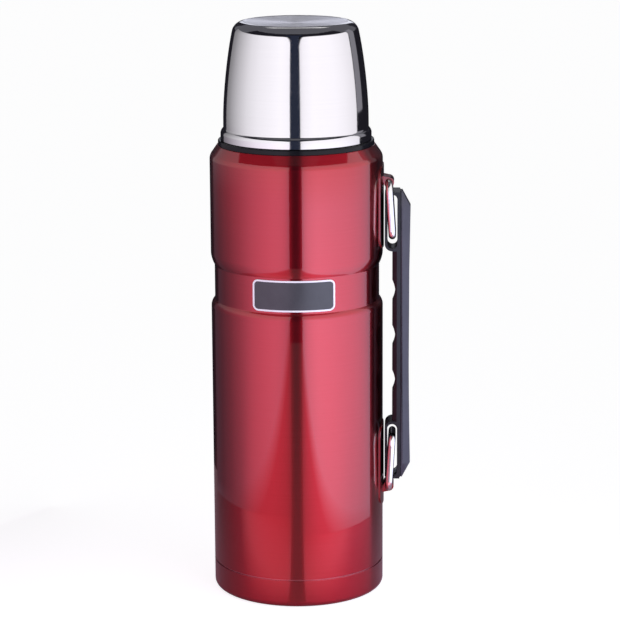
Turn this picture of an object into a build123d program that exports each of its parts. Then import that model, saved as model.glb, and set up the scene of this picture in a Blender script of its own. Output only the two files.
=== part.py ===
from build123d import *
from math import asin, cos, radians, sin, sqrt, tan
import os

# Insulated bottle: a double-walled steel flask with a screw cup, a twist stopper and a
# carrying handle that folds flat against the side on two wire links.
# +Z is up, the origin is on the bottle's axis where the base stands,
# the handle is on the +X side and the badge faces -Y. All sizes are millimetres.

# Outer shell, from the base upwards
body_radius = 47.0
shell_wall = 0.5
base_cap_height = 15.4
seam_gap = 0.6
lower_body_height = 143.4
waist_depth = 2.0
waist_step_height = 4.4
waist_band_height = 19.2
waist_roll_height = 7.0
upper_body_height = 51.0
shoulder_round = 5.0
shoulder_angle = 35.0
shoulder_inset = 4.2

# Base
foot_round = 3.4
foot_width = 6.5
base_recess = 1.6
base_boss_radius = 12.0
bottom_plate_level = 12.0
bottom_skirt_drop = 4.0
bottom_skirt_rise = 8.0
seal_hole_radius = 1.5
seal_tail = 0.6
seal_head_radius = 3.6
seal_head_height = 1.2
seal_head_round = 0.8
getter_radius = 6.0
getter_height = 2.0
getter_offset = 16.0
getter_edge = 0.5

# Neck and inner flask
neck_gap = 2.0
neck_height = 21.4
flask_wall = 0.4
waist_gap = 2.0
flask_bottom_gap = 8.5
flask_corner = 9.0
flask_shoulder_drop = 13.0
seat_width = 2.5
seat_depth = 24.0
foil_thickness = 0.15
foil_bottom_margin = 12.0
foil_top_margin = 6.0

# Collar that carries the cup
collar_flange_height = 2.7
collar_flange_inset = 0.45
collar_flange_edge = 0.5
collar_wall = 3.6
collar_drop = 3.4
collar_edge = 0.8
thread_pitch = 3.6
thread_turns = 2.0
thread_depth = 1.15
thread_width = 1.9
thread_sink = 0.3
thread_clearance = 0.3
collar_thread_start = 3.2

# Cup
cup_height = 63.5
cup_gap = 0.2
cup_wall = 0.5
cup_rim_inset = 1.45
cup_rim_height = 4.0
cup_rim_step = 1.5
cup_rim_blend = 2.3
cup_taper = 7.1
cup_belly = 1.6
cup_top_round = 3.7
cup_round_rise = 3.1
cup_dish_depth = 1.2
cup_dish_edge = 2.0
liner_gap = 0.9
liner_drop = 6.4
liner_corner = 6.0
liner_top_gap = 1.8
liner_belly = 1.2
cup_ring_wall = 0.9
cup_ring_height = 14.2
cup_ring_margin = 1.0
cup_thread_start = 2.2

# Stopper
plug_clearance = 1.1
plug_wall = 3.4
plug_nose_drop = 6.5
plug_nose_edge = 1.5
plug_floor = 2.0
plug_thread_start = 3.2
channel_width = 11.0
channel_depth = 1.8
flange_width = 3.2
flange_height = 2.0
seat_clearance = 0.3
gasket_clearance = 0.2
gasket_height = 2.6
gasket_inset = 0.2
gasket_play = 0.1
gasket_round = 1.0
knob_height = 15.6
knob_overhang = 0.6
knob_wall = 2.0
knob_taper = 3.2
knob_top_round = 2.0
flute_count = 24
flute_radius = 1.6
flute_depth = 0.9

# Handle links and their brackets
wire_radius = 2.0
link_length = 29.0
link_bend = 4.2
link_side_gap = 0.9
swing_angle = 44.0
pin_clearance = 0.1
bracket_sheet = 0.6
bracket_width = 26.0
bracket_length = 45.0
bracket_overhang = 9.5
bracket_corner = 6.0
knuckle_wall = 0.7
knuckle_width = 11.0
knuckle_bite = 0.1
gusset_height = 3.5
gusset_offset = 1.0
gusset_sink = 0.4
lower_pivot_rise = 41.2
upper_pivot_drop = 13.0

# Handle
grip_gap = 1.1
eye_wall = 1.4
slot_side_gap = 0.7
slot_end_gap = 1.7
slot_play = 5.2
grip_thickness = 15.6
finger_gap = 5.2
cover_depth = 4.4
grip_flare = 0.8
end_chamfer_height = 8.4
end_chamfer_depth = 4.5
outer_bevel = 3.9
inner_bevel_depth = 2.5
inner_bevel_side = 2.2
parting_wall = 2.0
parting_groove = 0.35
dip_count = 3
dip_pitch = 25.3
dip_length = 12.8
dip_depth = 1.6

# Badge
badge_width = 44.0
badge_height = 17.0
badge_thickness = 0.6
badge_corner = 3.0

# Levels along the axis
shell_bottom = base_cap_height + seam_gap
waist_bottom = shell_bottom + lower_body_height
band_bottom = waist_bottom + waist_step_height
band_top = band_bottom + waist_band_height
upper_bottom = band_top + waist_roll_height
shoulder_bottom = upper_bottom + upper_body_height
round_rise = shoulder_round * sin(radians(shoulder_angle))
round_inset = shoulder_round * (1 - cos(radians(shoulder_angle)))
slope_rise = (shoulder_inset - round_inset) / tan(radians(shoulder_angle))
shoulder_top = shoulder_bottom + round_rise + slope_rise
neck_top = shoulder_top + neck_height
collar_top = neck_top - collar_drop
flange_top = shoulder_top + collar_flange_height
cup_bottom = flange_top + cup_gap
cup_top = cup_bottom + cup_height

# Radii of the shell and the cup, from the outside inwards
waist_radius = body_radius - waist_depth
shoulder_radius = body_radius - shoulder_inset
shell_bore = body_radius - shell_wall
flange_radius = shoulder_radius - collar_flange_inset
cup_rim_radius = flange_radius - cup_rim_inset
cup_wall_radius = cup_rim_radius - cup_rim_step
liner_radius = cup_wall_radius - cup_wall - liner_gap
liner_bore = liner_radius - cup_wall
ring_root = liner_bore - cup_ring_wall
ring_crest = ring_root - thread_depth

# Radii of the collar, neck and mouth, which sit inside the cup's thread ring
thread_crest = ring_crest - thread_clearance
collar_radius = thread_crest - thread_depth
neck_radius = collar_radius - collar_wall
neck_bore = neck_radius - shell_wall
flask_neck_radius = neck_bore - neck_gap
mouth_radius = flask_neck_radius - flask_wall
throat_radius = mouth_radius - seat_width
flask_radius = waist_radius - shell_wall - waist_gap
flask_bore = flask_radius - flask_wall


def thread_ridge(root_radius, crest_radius, bottom):
    """One helical ridge between the root and crest radii, its foot sunk into the wall."""
    sink = thread_sink if crest_radius > root_radius else -thread_sink
    foot, tip = thread_width / 2, thread_width / 4
    with BuildPart() as ridge:
        with BuildLine():
            height = thread_pitch * thread_turns
            turn = Helix(thread_pitch, height, root_radius, center=(0, 0, bottom))
        with BuildSketch(Plane(origin=turn @ 0, x_dir=(1, 0, 0), z_dir=turn % 0)):
            with BuildLine():
                Polyline(
                    (-sink, -foot),
                    (crest_radius - root_radius, -tip),
                    (crest_radius - root_radius, tip),
                    (-sink, foot),
                    close=True,
                )
            make_face()
        sweep(path=turn, is_frenet=True)
    return ridge.part


# Outer shell
lip_round = shell_wall / 2.2


def body_outline(inset, top):
    """Side of the lacquered shell, moved in by inset, from its lower edge to the level top."""
    edge = body_radius - inset
    waist = waist_radius - inset
    slope_end = edge - round_inset
    slope_run = (top - shoulder_bottom - round_rise) * tan(radians(shoulder_angle))
    Line((edge, shell_bottom), (edge, waist_bottom))
    TangentArc((edge, waist_bottom), (waist, band_bottom), tangent=(0, 1))
    Line((waist, band_bottom), (waist, band_top))
    TangentArc((edge, upper_bottom), (waist, band_top), tangent=(0, -1))
    Line((edge, upper_bottom), (edge, shoulder_bottom))
    TangentArc((edge, shoulder_bottom), (slope_end, shoulder_bottom + round_rise), tangent=(0, 1))
    Line((slope_end, shoulder_bottom + round_rise), (slope_end - slope_run, top))
    return slope_end - slope_run


with BuildPart() as outer_shell:
    with BuildSketch(Plane.XZ):
        with BuildLine():
            outside = body_outline(0, shoulder_top)
            inside = body_outline(shell_wall, shoulder_top - shell_wall)
            Line((body_radius, shell_bottom), (shell_bore, shell_bottom))
            Polyline(
                (outside, shoulder_top),
                (neck_radius, shoulder_top),
                (neck_radius, neck_top),
                (mouth_radius, neck_top),
                (mouth_radius, neck_top - shell_wall),
                (neck_bore, neck_top - shell_wall),
                (neck_bore, shoulder_top - shell_wall),
                (inside, shoulder_top - shell_wall),
            )
        make_face()
    revolve(axis=Axis.Z)
    lip = outer_shell.edges().filter_by(GeomType.CIRCLE).group_by(Axis.Z)[-1]
    fillet(lip, lip_round)

# Base
foot_radius = body_radius - foot_round
with BuildPart() as base_cap:
    with BuildSketch(Plane.XZ):
        with BuildLine():
            Polyline(
                (0, 0),
                (base_boss_radius, 0),
                (base_boss_radius + base_recess, base_recess),
                (foot_radius - foot_width - base_recess, base_recess),
                (foot_radius - foot_width, 0),
                (foot_radius, 0),
            )
            TangentArc((foot_radius, 0), (body_radius, foot_round), tangent=(1, 0))
            Polyline(
                (body_radius, foot_round),
                (body_radius, base_cap_height),
                (shell_bore, base_cap_height),
                (shell_bore, foot_round),
            )
            TangentArc((foot_radius, shell_wall), (shell_bore, foot_round), tangent=(1, 0))
            Polyline(
                (foot_radius, shell_wall),
                (foot_radius - foot_width + shell_wall, shell_wall),
                (foot_radius - foot_width - base_recess + shell_wall, base_recess + shell_wall),
                (base_boss_radius + base_recess - shell_wall, base_recess + shell_wall),
                (base_boss_radius - shell_wall, shell_wall),
                (0, shell_wall),
                (0, 0),
            )
        make_face()
    revolve(axis=Axis.Z)

# Closing plate of the vacuum space: its skirt joins the shell above to the base cap below.
plate_top = bottom_plate_level + shell_wall
with BuildPart() as bottom_plate:
    with BuildSketch(Plane.XZ):
        with BuildLine():
            Polyline(
                (seal_hole_radius, bottom_plate_level),
                (shell_bore - shell_wall, bottom_plate_level),
                (shell_bore - shell_wall, bottom_plate_level - bottom_skirt_drop),
                (shell_bore, bottom_plate_level - bottom_skirt_drop),
                (shell_bore, shell_bottom + bottom_skirt_rise),
                (shell_bore - shell_wall, shell_bottom + bottom_skirt_rise),
                (shell_bore - shell_wall, plate_top),
                (seal_hole_radius, plate_top),
                close=True,
            )
        make_face()
    revolve(axis=Axis.Z)

# Solder plug that closes the hole the air was drawn out through.
with BuildPart() as vacuum_seal:
    with BuildSketch(Plane.XY.offset(plate_top)):
        Circle(seal_hole_radius)
    extrude(amount=-shell_wall - seal_tail)
    with BuildSketch(Plane.XY.offset(bottom_plate_level)):
        Circle(seal_head_radius)
    extrude(amount=-seal_head_height)
    fillet(vacuum_seal.faces().sort_by(Axis.Z)[0].edges(), seal_head_round)

# Getter pill that keeps the vacuum clean.
with BuildPart() as getter:
    with BuildSketch(Plane.XY.offset(plate_top)):
        with Locations((getter_offset, 0)):
            Circle(getter_radius)
    extrude(amount=getter_height)
    chamfer(getter.faces().sort_by(Axis.Z)[-1].edges(), getter_edge)

# Inner flask
flask_bottom = plate_top + flask_bottom_gap
flask_shoulder = shoulder_top - flask_shoulder_drop
seat_level = neck_top - seat_depth
throat_bottom = seat_level - seat_width


def flask_outline(grow):
    """Wall line of the inner flask, moved out by grow; 0 gives its inner face."""
    corner = flask_corner + grow
    side = flask_bore + grow
    floor = flask_bottom + flask_wall - grow
    throat = throat_radius + grow
    seat = seat_level - grow
    Line((0, floor), (side - corner, floor))
    TangentArc((side - corner, floor), (side, floor + corner), tangent=(1, 0))
    Line((side, floor + corner), (side, flask_shoulder))
    Spline((side, flask_shoulder), (throat, throat_bottom + grow), tangents=[(0, 1), (-1, 0.1)])
    Polyline(
        (throat, throat_bottom + grow),
        (throat, seat),
        (mouth_radius + grow, seat),
        (mouth_radius + grow, neck_top - shell_wall),
    )


with BuildPart() as inner_flask:
    with BuildSketch(Plane.XZ):
        with BuildLine():
            flask_outline(0)
            flask_outline(flask_wall)
            Line((0, flask_bottom), (0, flask_bottom + flask_wall))
            Line((mouth_radius, neck_top - shell_wall), (flask_neck_radius, neck_top - shell_wall))
        make_face()
    revolve(axis=Axis.Z)

# Bright foil round the flask that turns heat back.
with BuildPart() as heat_foil:
    with BuildSketch(Plane.XY.offset(flask_bottom + foil_bottom_margin)):
        Circle(flask_radius + foil_thickness)
        Circle(flask_radius, mode=Mode.SUBTRACT)
    extrude(amount=flask_shoulder - flask_bottom - foil_bottom_margin - foil_top_margin)

# Neck collar
with BuildPart() as neck_collar:
    with BuildSketch(Plane.XZ):
        with BuildLine():
            Polyline(
                (neck_radius, shoulder_top),
                (flange_radius, shoulder_top),
                (flange_radius, flange_top - collar_flange_edge),
                (flange_radius - collar_flange_edge, flange_top),
                (collar_radius, flange_top),
                (collar_radius, collar_top - collar_edge),
                (collar_radius - collar_edge, collar_top),
                (neck_radius, collar_top),
                close=True,
            )
        make_face()
    revolve(axis=Axis.Z)
    add(thread_ridge(collar_radius, thread_crest, flange_top + collar_thread_start))

# Cup
cup_edge_radius = cup_wall_radius - cup_taper
dish_radius = cup_edge_radius - cup_top_round
rim_top = cup_bottom + cup_rim_height
wall_start = rim_top + cup_rim_blend
wall_end = cup_top - cup_round_rise


def cup_outline(inset):
    """Side and top of the cup, moved in by inset, from the rim to the axis."""
    rim = cup_rim_radius - inset
    wall = cup_wall_radius - inset
    edge = cup_edge_radius - inset
    dish = dish_radius - inset / 2
    rim_end = rim_top - inset / 2
    side_end = wall_end - inset / 2
    low = cup_bottom + inset
    top = cup_top - inset
    middle = (wall + edge) / 2 + cup_belly
    Line((rim, low), (rim, rim_end))
    Spline((rim, rim_end), (wall, wall_start), tangents=[(0, 1), (-0.02, 1)])
    ThreePointArc((wall, wall_start), (middle, (wall_start + wall_end) / 2), (edge, side_end))
    Spline((edge, side_end), (dish, top), tangents=[(-0.24, 1), (-1, 0.12)])
    Polyline(
        (dish, top),
        (dish - cup_dish_edge, top - cup_dish_depth),
        (0, top - cup_dish_depth),
    )


with BuildPart() as cup_shell:
    with BuildSketch(Plane.XZ):
        with BuildLine():
            cup_outline(0)
            cup_outline(cup_wall)
            Line((0, cup_top - cup_dish_depth), (0, cup_top - cup_dish_depth - cup_wall))
            Polyline(
                (cup_rim_radius, cup_bottom),
                (liner_bore, cup_bottom),
                (liner_bore, cup_bottom + cup_wall),
                (cup_rim_radius - cup_wall, cup_bottom + cup_wall),
            )
        make_face()
    revolve(axis=Axis.Z)

liner_foot = cup_bottom + cup_wall
liner_top = cup_top - liner_drop
ring_top = cup_bottom + cup_ring_height
liner_start = ring_top + cup_ring_margin
liner_edge = cup_edge_radius - cup_wall - liner_top_gap


def liner_outline(inset):
    """Inner wall of the cup, moved in by inset, from its foot to the axis."""
    side = liner_radius - inset
    edge = liner_edge - inset
    top = liner_top - inset
    shoulder = liner_top - liner_corner
    middle = (side + edge) / 2 + liner_belly
    Line((side, liner_foot), (side, liner_start))
    ThreePointArc((side, liner_start), (middle, (liner_start + shoulder) / 2), (edge, shoulder))
    Spline((edge, shoulder), (edge - liner_corner + inset, top), tangents=[(-0.24, 1), (-1, 0)])
    Line((edge - liner_corner + inset, top), (0, top))


with BuildPart() as cup_liner:
    with BuildSketch(Plane.XZ):
        with BuildLine():
            liner_outline(0)
            liner_outline(cup_wall)
            Line((0, liner_top), (0, liner_top - cup_wall))
            Line((liner_radius, liner_foot), (liner_bore, liner_foot))
        make_face()
    revolve(axis=Axis.Z)

with BuildPart() as cup_thread_ring:
    with BuildSketch(Plane.XY.offset(liner_foot)):
        Circle(liner_bore)
        Circle(ring_root, mode=Mode.SUBTRACT)
    extrude(amount=ring_top - liner_foot)
    add(thread_ridge(ring_root, ring_crest, liner_foot + cup_thread_start))

# Stopper
plug_radius = mouth_radius - plug_clearance
plug_bore = plug_radius - plug_wall
nose_radius = plug_bore
gasket_bottom = seat_level + gasket_clearance
gasket_top = gasket_bottom + gasket_height
nose_bottom = gasket_bottom - plug_nose_drop
plug_top = neck_top + seat_clearance
flange_edge = mouth_radius + flange_width
with BuildPart() as stopper_body:
    with BuildSketch(Plane.XZ):
        with BuildLine():
            Polyline(
                (0, nose_bottom),
                (nose_radius - plug_nose_edge, nose_bottom),
                (nose_radius, nose_bottom + plug_nose_edge),
                (nose_radius, gasket_top),
                (plug_radius, gasket_top),
                (plug_radius, plug_top),
                (flange_edge, plug_top),
                (flange_edge, plug_top + flange_height),
                (plug_bore, plug_top + flange_height),
                (plug_bore, gasket_top + plug_floor),
                (nose_radius - plug_floor, gasket_top),
                (nose_radius - plug_floor, nose_bottom + plug_floor),
                (0, nose_bottom + plug_floor),
                close=True,
            )
        make_face()
    revolve(axis=Axis.Z)
    add(thread_ridge(plug_radius, mouth_radius - thread_clearance, gasket_top + plug_thread_start))
    # Two channels let the drink past the thread once the plug is turned up off its seat.
    with BuildSketch(Plane.XY.offset(gasket_top)):
        with PolarLocations(plug_radius, 2, start_angle=90):
            Rectangle(2 * channel_depth, channel_width)
    extrude(amount=plug_top - gasket_top, mode=Mode.SUBTRACT)

with BuildPart() as stopper_foam:
    with BuildSketch(Plane.XY.offset(nose_bottom + plug_floor)):
        Circle(nose_radius - plug_floor)
    extrude(amount=gasket_top - nose_bottom - plug_floor)
    with BuildSketch(Plane.XY.offset(gasket_top + plug_floor)):
        Circle(plug_bore)
    extrude(amount=plug_top - gasket_top - plug_floor)
    with BuildSketch(Plane.XY.offset(gasket_top)) as foam_foot:
        Circle(nose_radius - plug_floor)
    with BuildSketch(Plane.XY.offset(gasket_top + plug_floor)) as foam_head:
        Circle(plug_bore)
    loft(sections=[foam_foot.sketch, foam_head.sketch])

with BuildPart() as stopper_gasket:
    with BuildSketch(Plane.XY.offset(gasket_bottom)):
        Circle(plug_radius - gasket_inset)
        Circle(nose_radius + gasket_play, mode=Mode.SUBTRACT)
    extrude(amount=gasket_height - gasket_play)
    rims = stopper_gasket.edges().filter_by(GeomType.CIRCLE).sort_by(SortBy.RADIUS)[-2:]
    fillet(rims, gasket_round)

knob_bottom = plug_top + flange_height
knob_top = plug_top + knob_height
knob_radius = flange_edge + knob_overhang
knob_head_radius = knob_radius - knob_taper
with BuildPart() as stopper_knob:
    with BuildSketch(Plane.XZ):
        with BuildLine():
            Polyline(
                (plug_bore, knob_bottom),
                (knob_radius, knob_bottom),
                (knob_head_radius, knob_top),
                (0, knob_top),
                (0, knob_top - knob_wall),
                (plug_bore, knob_top - knob_wall),
                close=True,
            )
        make_face()
    revolve(axis=Axis.Z)
    fillet(stopper_knob.faces().sort_by(Axis.Z)[-1].edges(), knob_top_round)
    # Finger flutes round the rim, upright.
    with BuildSketch(Plane.XY.offset(knob_bottom)):
        with PolarLocations(knob_radius + flute_radius - flute_depth, flute_count):
            Circle(flute_radius)
    extrude(amount=knob_height, mode=Mode.SUBTRACT)

# Handle links
knuckle_radius = wire_radius + pin_clearance + knuckle_wall
pivot_x = body_radius + bracket_sheet + knuckle_radius - knuckle_bite
slot_width = 2 * (wire_radius + slot_side_gap)
slot_x = body_radius + grip_gap + eye_wall + slot_width / 2
link_width = grip_thickness + 2 * (wire_radius + link_side_gap)
link_lean = asin((slot_x - pivot_x) / link_length)
lower_pivot_z = shell_bottom + lower_pivot_rise
upper_pivot_z = shoulder_bottom - upper_pivot_drop
handle_z = (upper_pivot_z + lower_pivot_z) / 2
link_drop = link_length * cos(link_lean)
crossbar_z = (upper_pivot_z - lower_pivot_z) / 2 - link_drop


def wire_link(pivot_z, way):
    """Closed ring of round wire; way is -1 for a link that hangs down, 1 for one that stands up."""
    lean_x, lean_z = sin(link_lean), way * cos(link_lean)
    ring_plane = Plane(origin=(pivot_x, 0, pivot_z), x_dir=(0, 1, 0), z_dir=(lean_z, 0, -lean_x))
    with BuildPart() as ring:
        with BuildLine(ring_plane):
            half = FilletPolyline(
                (0, 0),
                (link_width / 2, 0),
                (link_width / 2, link_length),
                (0, link_length),
                radius=link_bend,
            )
        with BuildSketch(Plane(origin=half @ 0, z_dir=half % 0)):
            Circle(wire_radius)
        sweep(path=half)
        mirror(about=Plane.XZ)
    return ring.part


with BuildPart() as upper_link:
    add(wire_link(upper_pivot_z, -1))

with BuildPart() as lower_link:
    add(wire_link(lower_pivot_z, 1))


def link_bracket(pivot_z, way):
    """Curved plate on the shell with a closed knuckle round the link's crossbar."""
    plate_foot = pivot_z - way * bracket_overhang
    plate_middle = plate_foot + way * bracket_length / 2
    root_x = body_radius + bracket_sheet - gusset_sink
    gusset_x = pivot_x + gusset_offset
    gusset_z = pivot_z - way * sqrt(knuckle_radius**2 - gusset_offset**2)
    with BuildPart() as bracket:
        with BuildSketch(Plane.XY.offset(plate_middle - bracket_length / 2)):
            Circle(body_radius + bracket_sheet)
            Circle(body_radius, mode=Mode.SUBTRACT)
        extrude(amount=bracket_length)
        with BuildSketch(Plane.YZ):
            with Locations((0, plate_middle)):
                RectangleRounded(bracket_width, bracket_length, bracket_corner)
        extrude(amount=2 * body_radius, mode=Mode.INTERSECT)
        with BuildSketch(Plane.XZ):
            with Locations((pivot_x, pivot_z)):
                Circle(knuckle_radius)
            with BuildLine():
                Polyline(
                    (root_x, pivot_z),
                    (pivot_x, pivot_z),
                    (gusset_x, gusset_z),
                    (root_x, pivot_z - way * gusset_height),
                    close=True,
                )
            make_face()
        extrude(amount=knuckle_width / 2, both=True)
        with BuildSketch(Plane.XZ):
            with Locations((pivot_x, pivot_z)):
                Circle(wire_radius + pin_clearance)
        extrude(amount=knuckle_width, both=True, mode=Mode.SUBTRACT)
    return bracket.part


with BuildPart() as upper_bracket:
    add(link_bracket(upper_pivot_z, -1))

with BuildPart() as lower_bracket:
    add(link_bracket(lower_pivot_z, 1))

# Handle
# As the links swing out, the lower crossbar slides down its eye by twice the handle's rise.
handle_rise = link_drop - link_length * cos(link_lean + radians(swing_angle))
slot_inner = crossbar_z - wire_radius - slot_play
slot_outer = crossbar_z + wire_radius + 2 * handle_rise + slot_end_gap
slot_length = slot_outer - slot_inner
handle_half = slot_outer + eye_wall
eye_inner_x = slot_x - slot_width / 2 - eye_wall
bar_inner_x = body_radius + finger_gap
parting_x = slot_x + slot_width / 2 + parting_wall
bar_outer_x = parting_x + cover_depth
flare_x = bar_outer_x + grip_flare
tip_x = flare_x - end_chamfer_depth
flare_z = handle_half - end_chamfer_height
eye_radius = slot_width / 2 + eye_wall
dip_radius = (dip_length**2 / 4 + dip_depth**2) / (2 * dip_depth)

with BuildPart() as handle_blank:
    with BuildSketch(Plane.XZ):
        with BuildLine():
            Polyline(
                (flare_x, handle_z - flare_z),
                (tip_x, handle_z - handle_half),
                (bar_inner_x, handle_z - handle_half),
                (bar_inner_x, handle_z + handle_half),
                (tip_x, handle_z + handle_half),
                (flare_x, handle_z + flare_z),
            )
            ThreePointArc(
                (flare_x, handle_z + flare_z),
                (bar_outer_x, handle_z),
                (flare_x, handle_z - flare_z),
            )
        make_face()
    extrude(amount=grip_thickness / 2, both=True)
    # Rims of the two sides beyond the tip: the long outer edge and the sloped ends.
    outer_rims = handle_blank.edges().filter_by(
        lambda edge: edge.center().X > tip_x and abs(edge.center().Y) > grip_thickness / 4
    )
    chamfer(outer_rims, outer_bevel)
    for side in (-1, 1):
        # Bevel along the finger side, between the two eyes.
        with BuildSketch(Plane.XY.offset(handle_z - slot_inner + eye_wall)):
            with BuildLine():
                Polyline(
                    (bar_inner_x, side * grip_thickness / 2),
                    (bar_inner_x + inner_bevel_depth, side * grip_thickness / 2),
                    (bar_inner_x, side * (grip_thickness / 2 - inner_bevel_side)),
                    close=True,
                )
            make_face()
        extrude(amount=2 * (slot_inner - eye_wall), mode=Mode.SUBTRACT)
    for end in (-1, 1):
        # Eye that the link's crossbar slides in: a closed loop with a round nose.
        nose_z = handle_z + end * (slot_inner + slot_width / 2)
        with BuildSketch(Plane.XZ):
            with Locations((slot_x, nose_z)):
                Circle(eye_radius)
            with BuildLine():
                Polyline(
                    (eye_inner_x, nose_z),
                    (slot_x + eye_radius, nose_z),
                    (slot_x + eye_radius, handle_z + end * handle_half),
                    (eye_inner_x + eye_wall, handle_z + end * handle_half),
                    (eye_inner_x, handle_z + end * (handle_half - eye_wall)),
                    close=True,
                )
            make_face()
        extrude(amount=grip_thickness / 2, both=True)
        with BuildSketch(Plane.XZ):
            with Locations((slot_x, handle_z + end * (slot_inner + slot_outer) / 2)):
                SlotOverall(slot_length, slot_width, rotation=90)
        extrude(amount=grip_thickness, both=True, mode=Mode.SUBTRACT)
    with BuildSketch(Plane.XZ):
        for dip in range(dip_count):
            dip_z = handle_z + (dip - (dip_count - 1) / 2) * dip_pitch
            with Locations((bar_inner_x + dip_depth - dip_radius, dip_z)):
                Circle(dip_radius)
    extrude(amount=grip_thickness, both=True, mode=Mode.SUBTRACT)

with BuildPart() as handle_grip:
    add(handle_blank.part)
    split(bisect_by=Plane.YZ.offset(parting_x), keep=Keep.BOTTOM)
    joint_face = handle_grip.faces().filter_by(Axis.X).sort_by(Axis.X)[-1]
    chamfer(joint_face.outer_wire().edges(), parting_groove)

with BuildPart() as handle_cover:
    add(handle_blank.part)
    split(bisect_by=Plane.YZ.offset(parting_x), keep=Keep.TOP)
    joint_face = handle_cover.faces().filter_by(Axis.X).sort_by(Axis.X)[0]
    chamfer(joint_face.outer_wire().edges(), parting_groove)

# Badge
with BuildPart() as badge_plate:
    badge_z = (band_bottom + band_top) / 2
    with BuildSketch(Plane.XY.offset(badge_z - badge_height)):
        Circle(waist_radius + badge_thickness)
        Circle(waist_radius, mode=Mode.SUBTRACT)
    extrude(amount=2 * badge_height)
    with BuildSketch(Plane.XZ):
        with Locations((0, badge_z)):
            RectangleRounded(badge_width, badge_height, badge_corner)
    extrude(amount=2 * body_radius, mode=Mode.INTERSECT)

# Each piece is labelled and written as its own STEP file.
pieces = {
    "outer_shell": outer_shell,
    "base_cap": base_cap,
    "bottom_plate": bottom_plate,
    "vacuum_seal": vacuum_seal,
    "getter": getter,
    "inner_flask": inner_flask,
    "heat_foil": heat_foil,
    "neck_collar": neck_collar,
    "cup_shell": cup_shell,
    "cup_liner": cup_liner,
    "cup_thread_ring": cup_thread_ring,
    "stopper_body": stopper_body,
    "stopper_foam": stopper_foam,
    "stopper_gasket": stopper_gasket,
    "stopper_knob": stopper_knob,
    "upper_link": upper_link,
    "lower_link": lower_link,
    "upper_bracket": upper_bracket,
    "lower_bracket": lower_bracket,
    "handle_grip": handle_grip,
    "handle_cover": handle_cover,
    "badge_plate": badge_plate,
}
os.makedirs("parts", exist_ok=True)
for name, piece in pieces.items():
    piece.part.label = name
    export_step(piece.part, f"parts/{name}.step")
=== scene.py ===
import bmesh
import bpy
from math import cos, pi, radians, sin, tan
from mathutils import Matrix, Vector


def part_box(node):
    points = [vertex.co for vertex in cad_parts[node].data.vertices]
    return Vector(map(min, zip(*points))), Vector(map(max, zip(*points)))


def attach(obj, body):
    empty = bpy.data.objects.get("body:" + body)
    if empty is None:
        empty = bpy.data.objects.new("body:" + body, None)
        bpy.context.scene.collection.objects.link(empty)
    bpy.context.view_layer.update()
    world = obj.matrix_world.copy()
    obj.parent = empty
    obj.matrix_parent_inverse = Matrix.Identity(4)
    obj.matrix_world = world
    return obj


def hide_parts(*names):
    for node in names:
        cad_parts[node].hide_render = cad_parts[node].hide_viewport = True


# Metres: +Z up the bottle's axis, +X towards the handle, -Y towards the badge
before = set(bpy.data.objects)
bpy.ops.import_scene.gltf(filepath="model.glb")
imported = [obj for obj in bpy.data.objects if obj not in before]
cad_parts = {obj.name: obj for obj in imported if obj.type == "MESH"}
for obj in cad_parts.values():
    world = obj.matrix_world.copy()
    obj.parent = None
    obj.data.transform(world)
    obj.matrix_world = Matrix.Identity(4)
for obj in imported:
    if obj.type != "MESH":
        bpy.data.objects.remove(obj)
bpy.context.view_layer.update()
mm = 0.001
tiny = 0.0001 * mm
upright = Vector((0, 0, 1))
scene = bpy.context.scene


# Node helpers: an input takes another node's socket or a plain value
def put(tree, kind, inputs=None, **settings):
    node = tree.nodes.new(kind)
    for name, value in settings.items():
        setattr(node, name, value)
    for name, value in (inputs or {}).items():
        socket = node.inputs[name]
        if isinstance(value, bpy.types.NodeSocket):
            tree.links.new(value, socket)
        else:
            socket.default_value = value
    return node


def calc(tree, operation, first, second=0.0, third=0.0):
    values = {0: first, 1: second, 2: third}
    return put(tree, "ShaderNodeMath", values, operation=operation).outputs[0]


def rescale(tree, value, low, high, newLow=0.0, newHigh=1.0):
    ends = {"From Min": low, "From Max": high, "To Min": newLow, "To Max": newHigh}
    return put(tree, "ShaderNodeMapRange", {"Value": value, **ends}).outputs[0]


def blendColours(tree, share, first, second):
    mix = put(tree, "ShaderNodeMix", {0: share, 6: first, 7: second}, data_type="RGBA")
    return mix.outputs[2]


def splitPlace(tree, where):
    return put(tree, "ShaderNodeSeparateXYZ", {0: where}).outputs


def axisDistance(tree, place):
    squares = [calc(tree, "MULTIPLY", place[axis], place[axis]) for axis in "XY"]
    return calc(tree, "SQRT", calc(tree, "ADD", *squares))


def newGroup(name, inputs, outputs):
    tree = bpy.data.node_groups.new(name, "ShaderNodeTree")
    sockets = tree.interface
    sockets.new_socket(name="Vector", in_out="INPUT", socket_type="NodeSocketVector")
    for label, value in inputs.items():
        socket = sockets.new_socket(name=label, in_out="INPUT", socket_type="NodeSocketFloat")
        socket.default_value = value
    for label in outputs:
        sockets.new_socket(name=label, in_out="OUTPUT", socket_type="NodeSocketFloat")
    return tree, put(tree, "NodeGroupInput").outputs, put(tree, "NodeGroupOutput").inputs


noiseSpan = (0.3, 0.7)  # where nearly all of a noise lies


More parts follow.
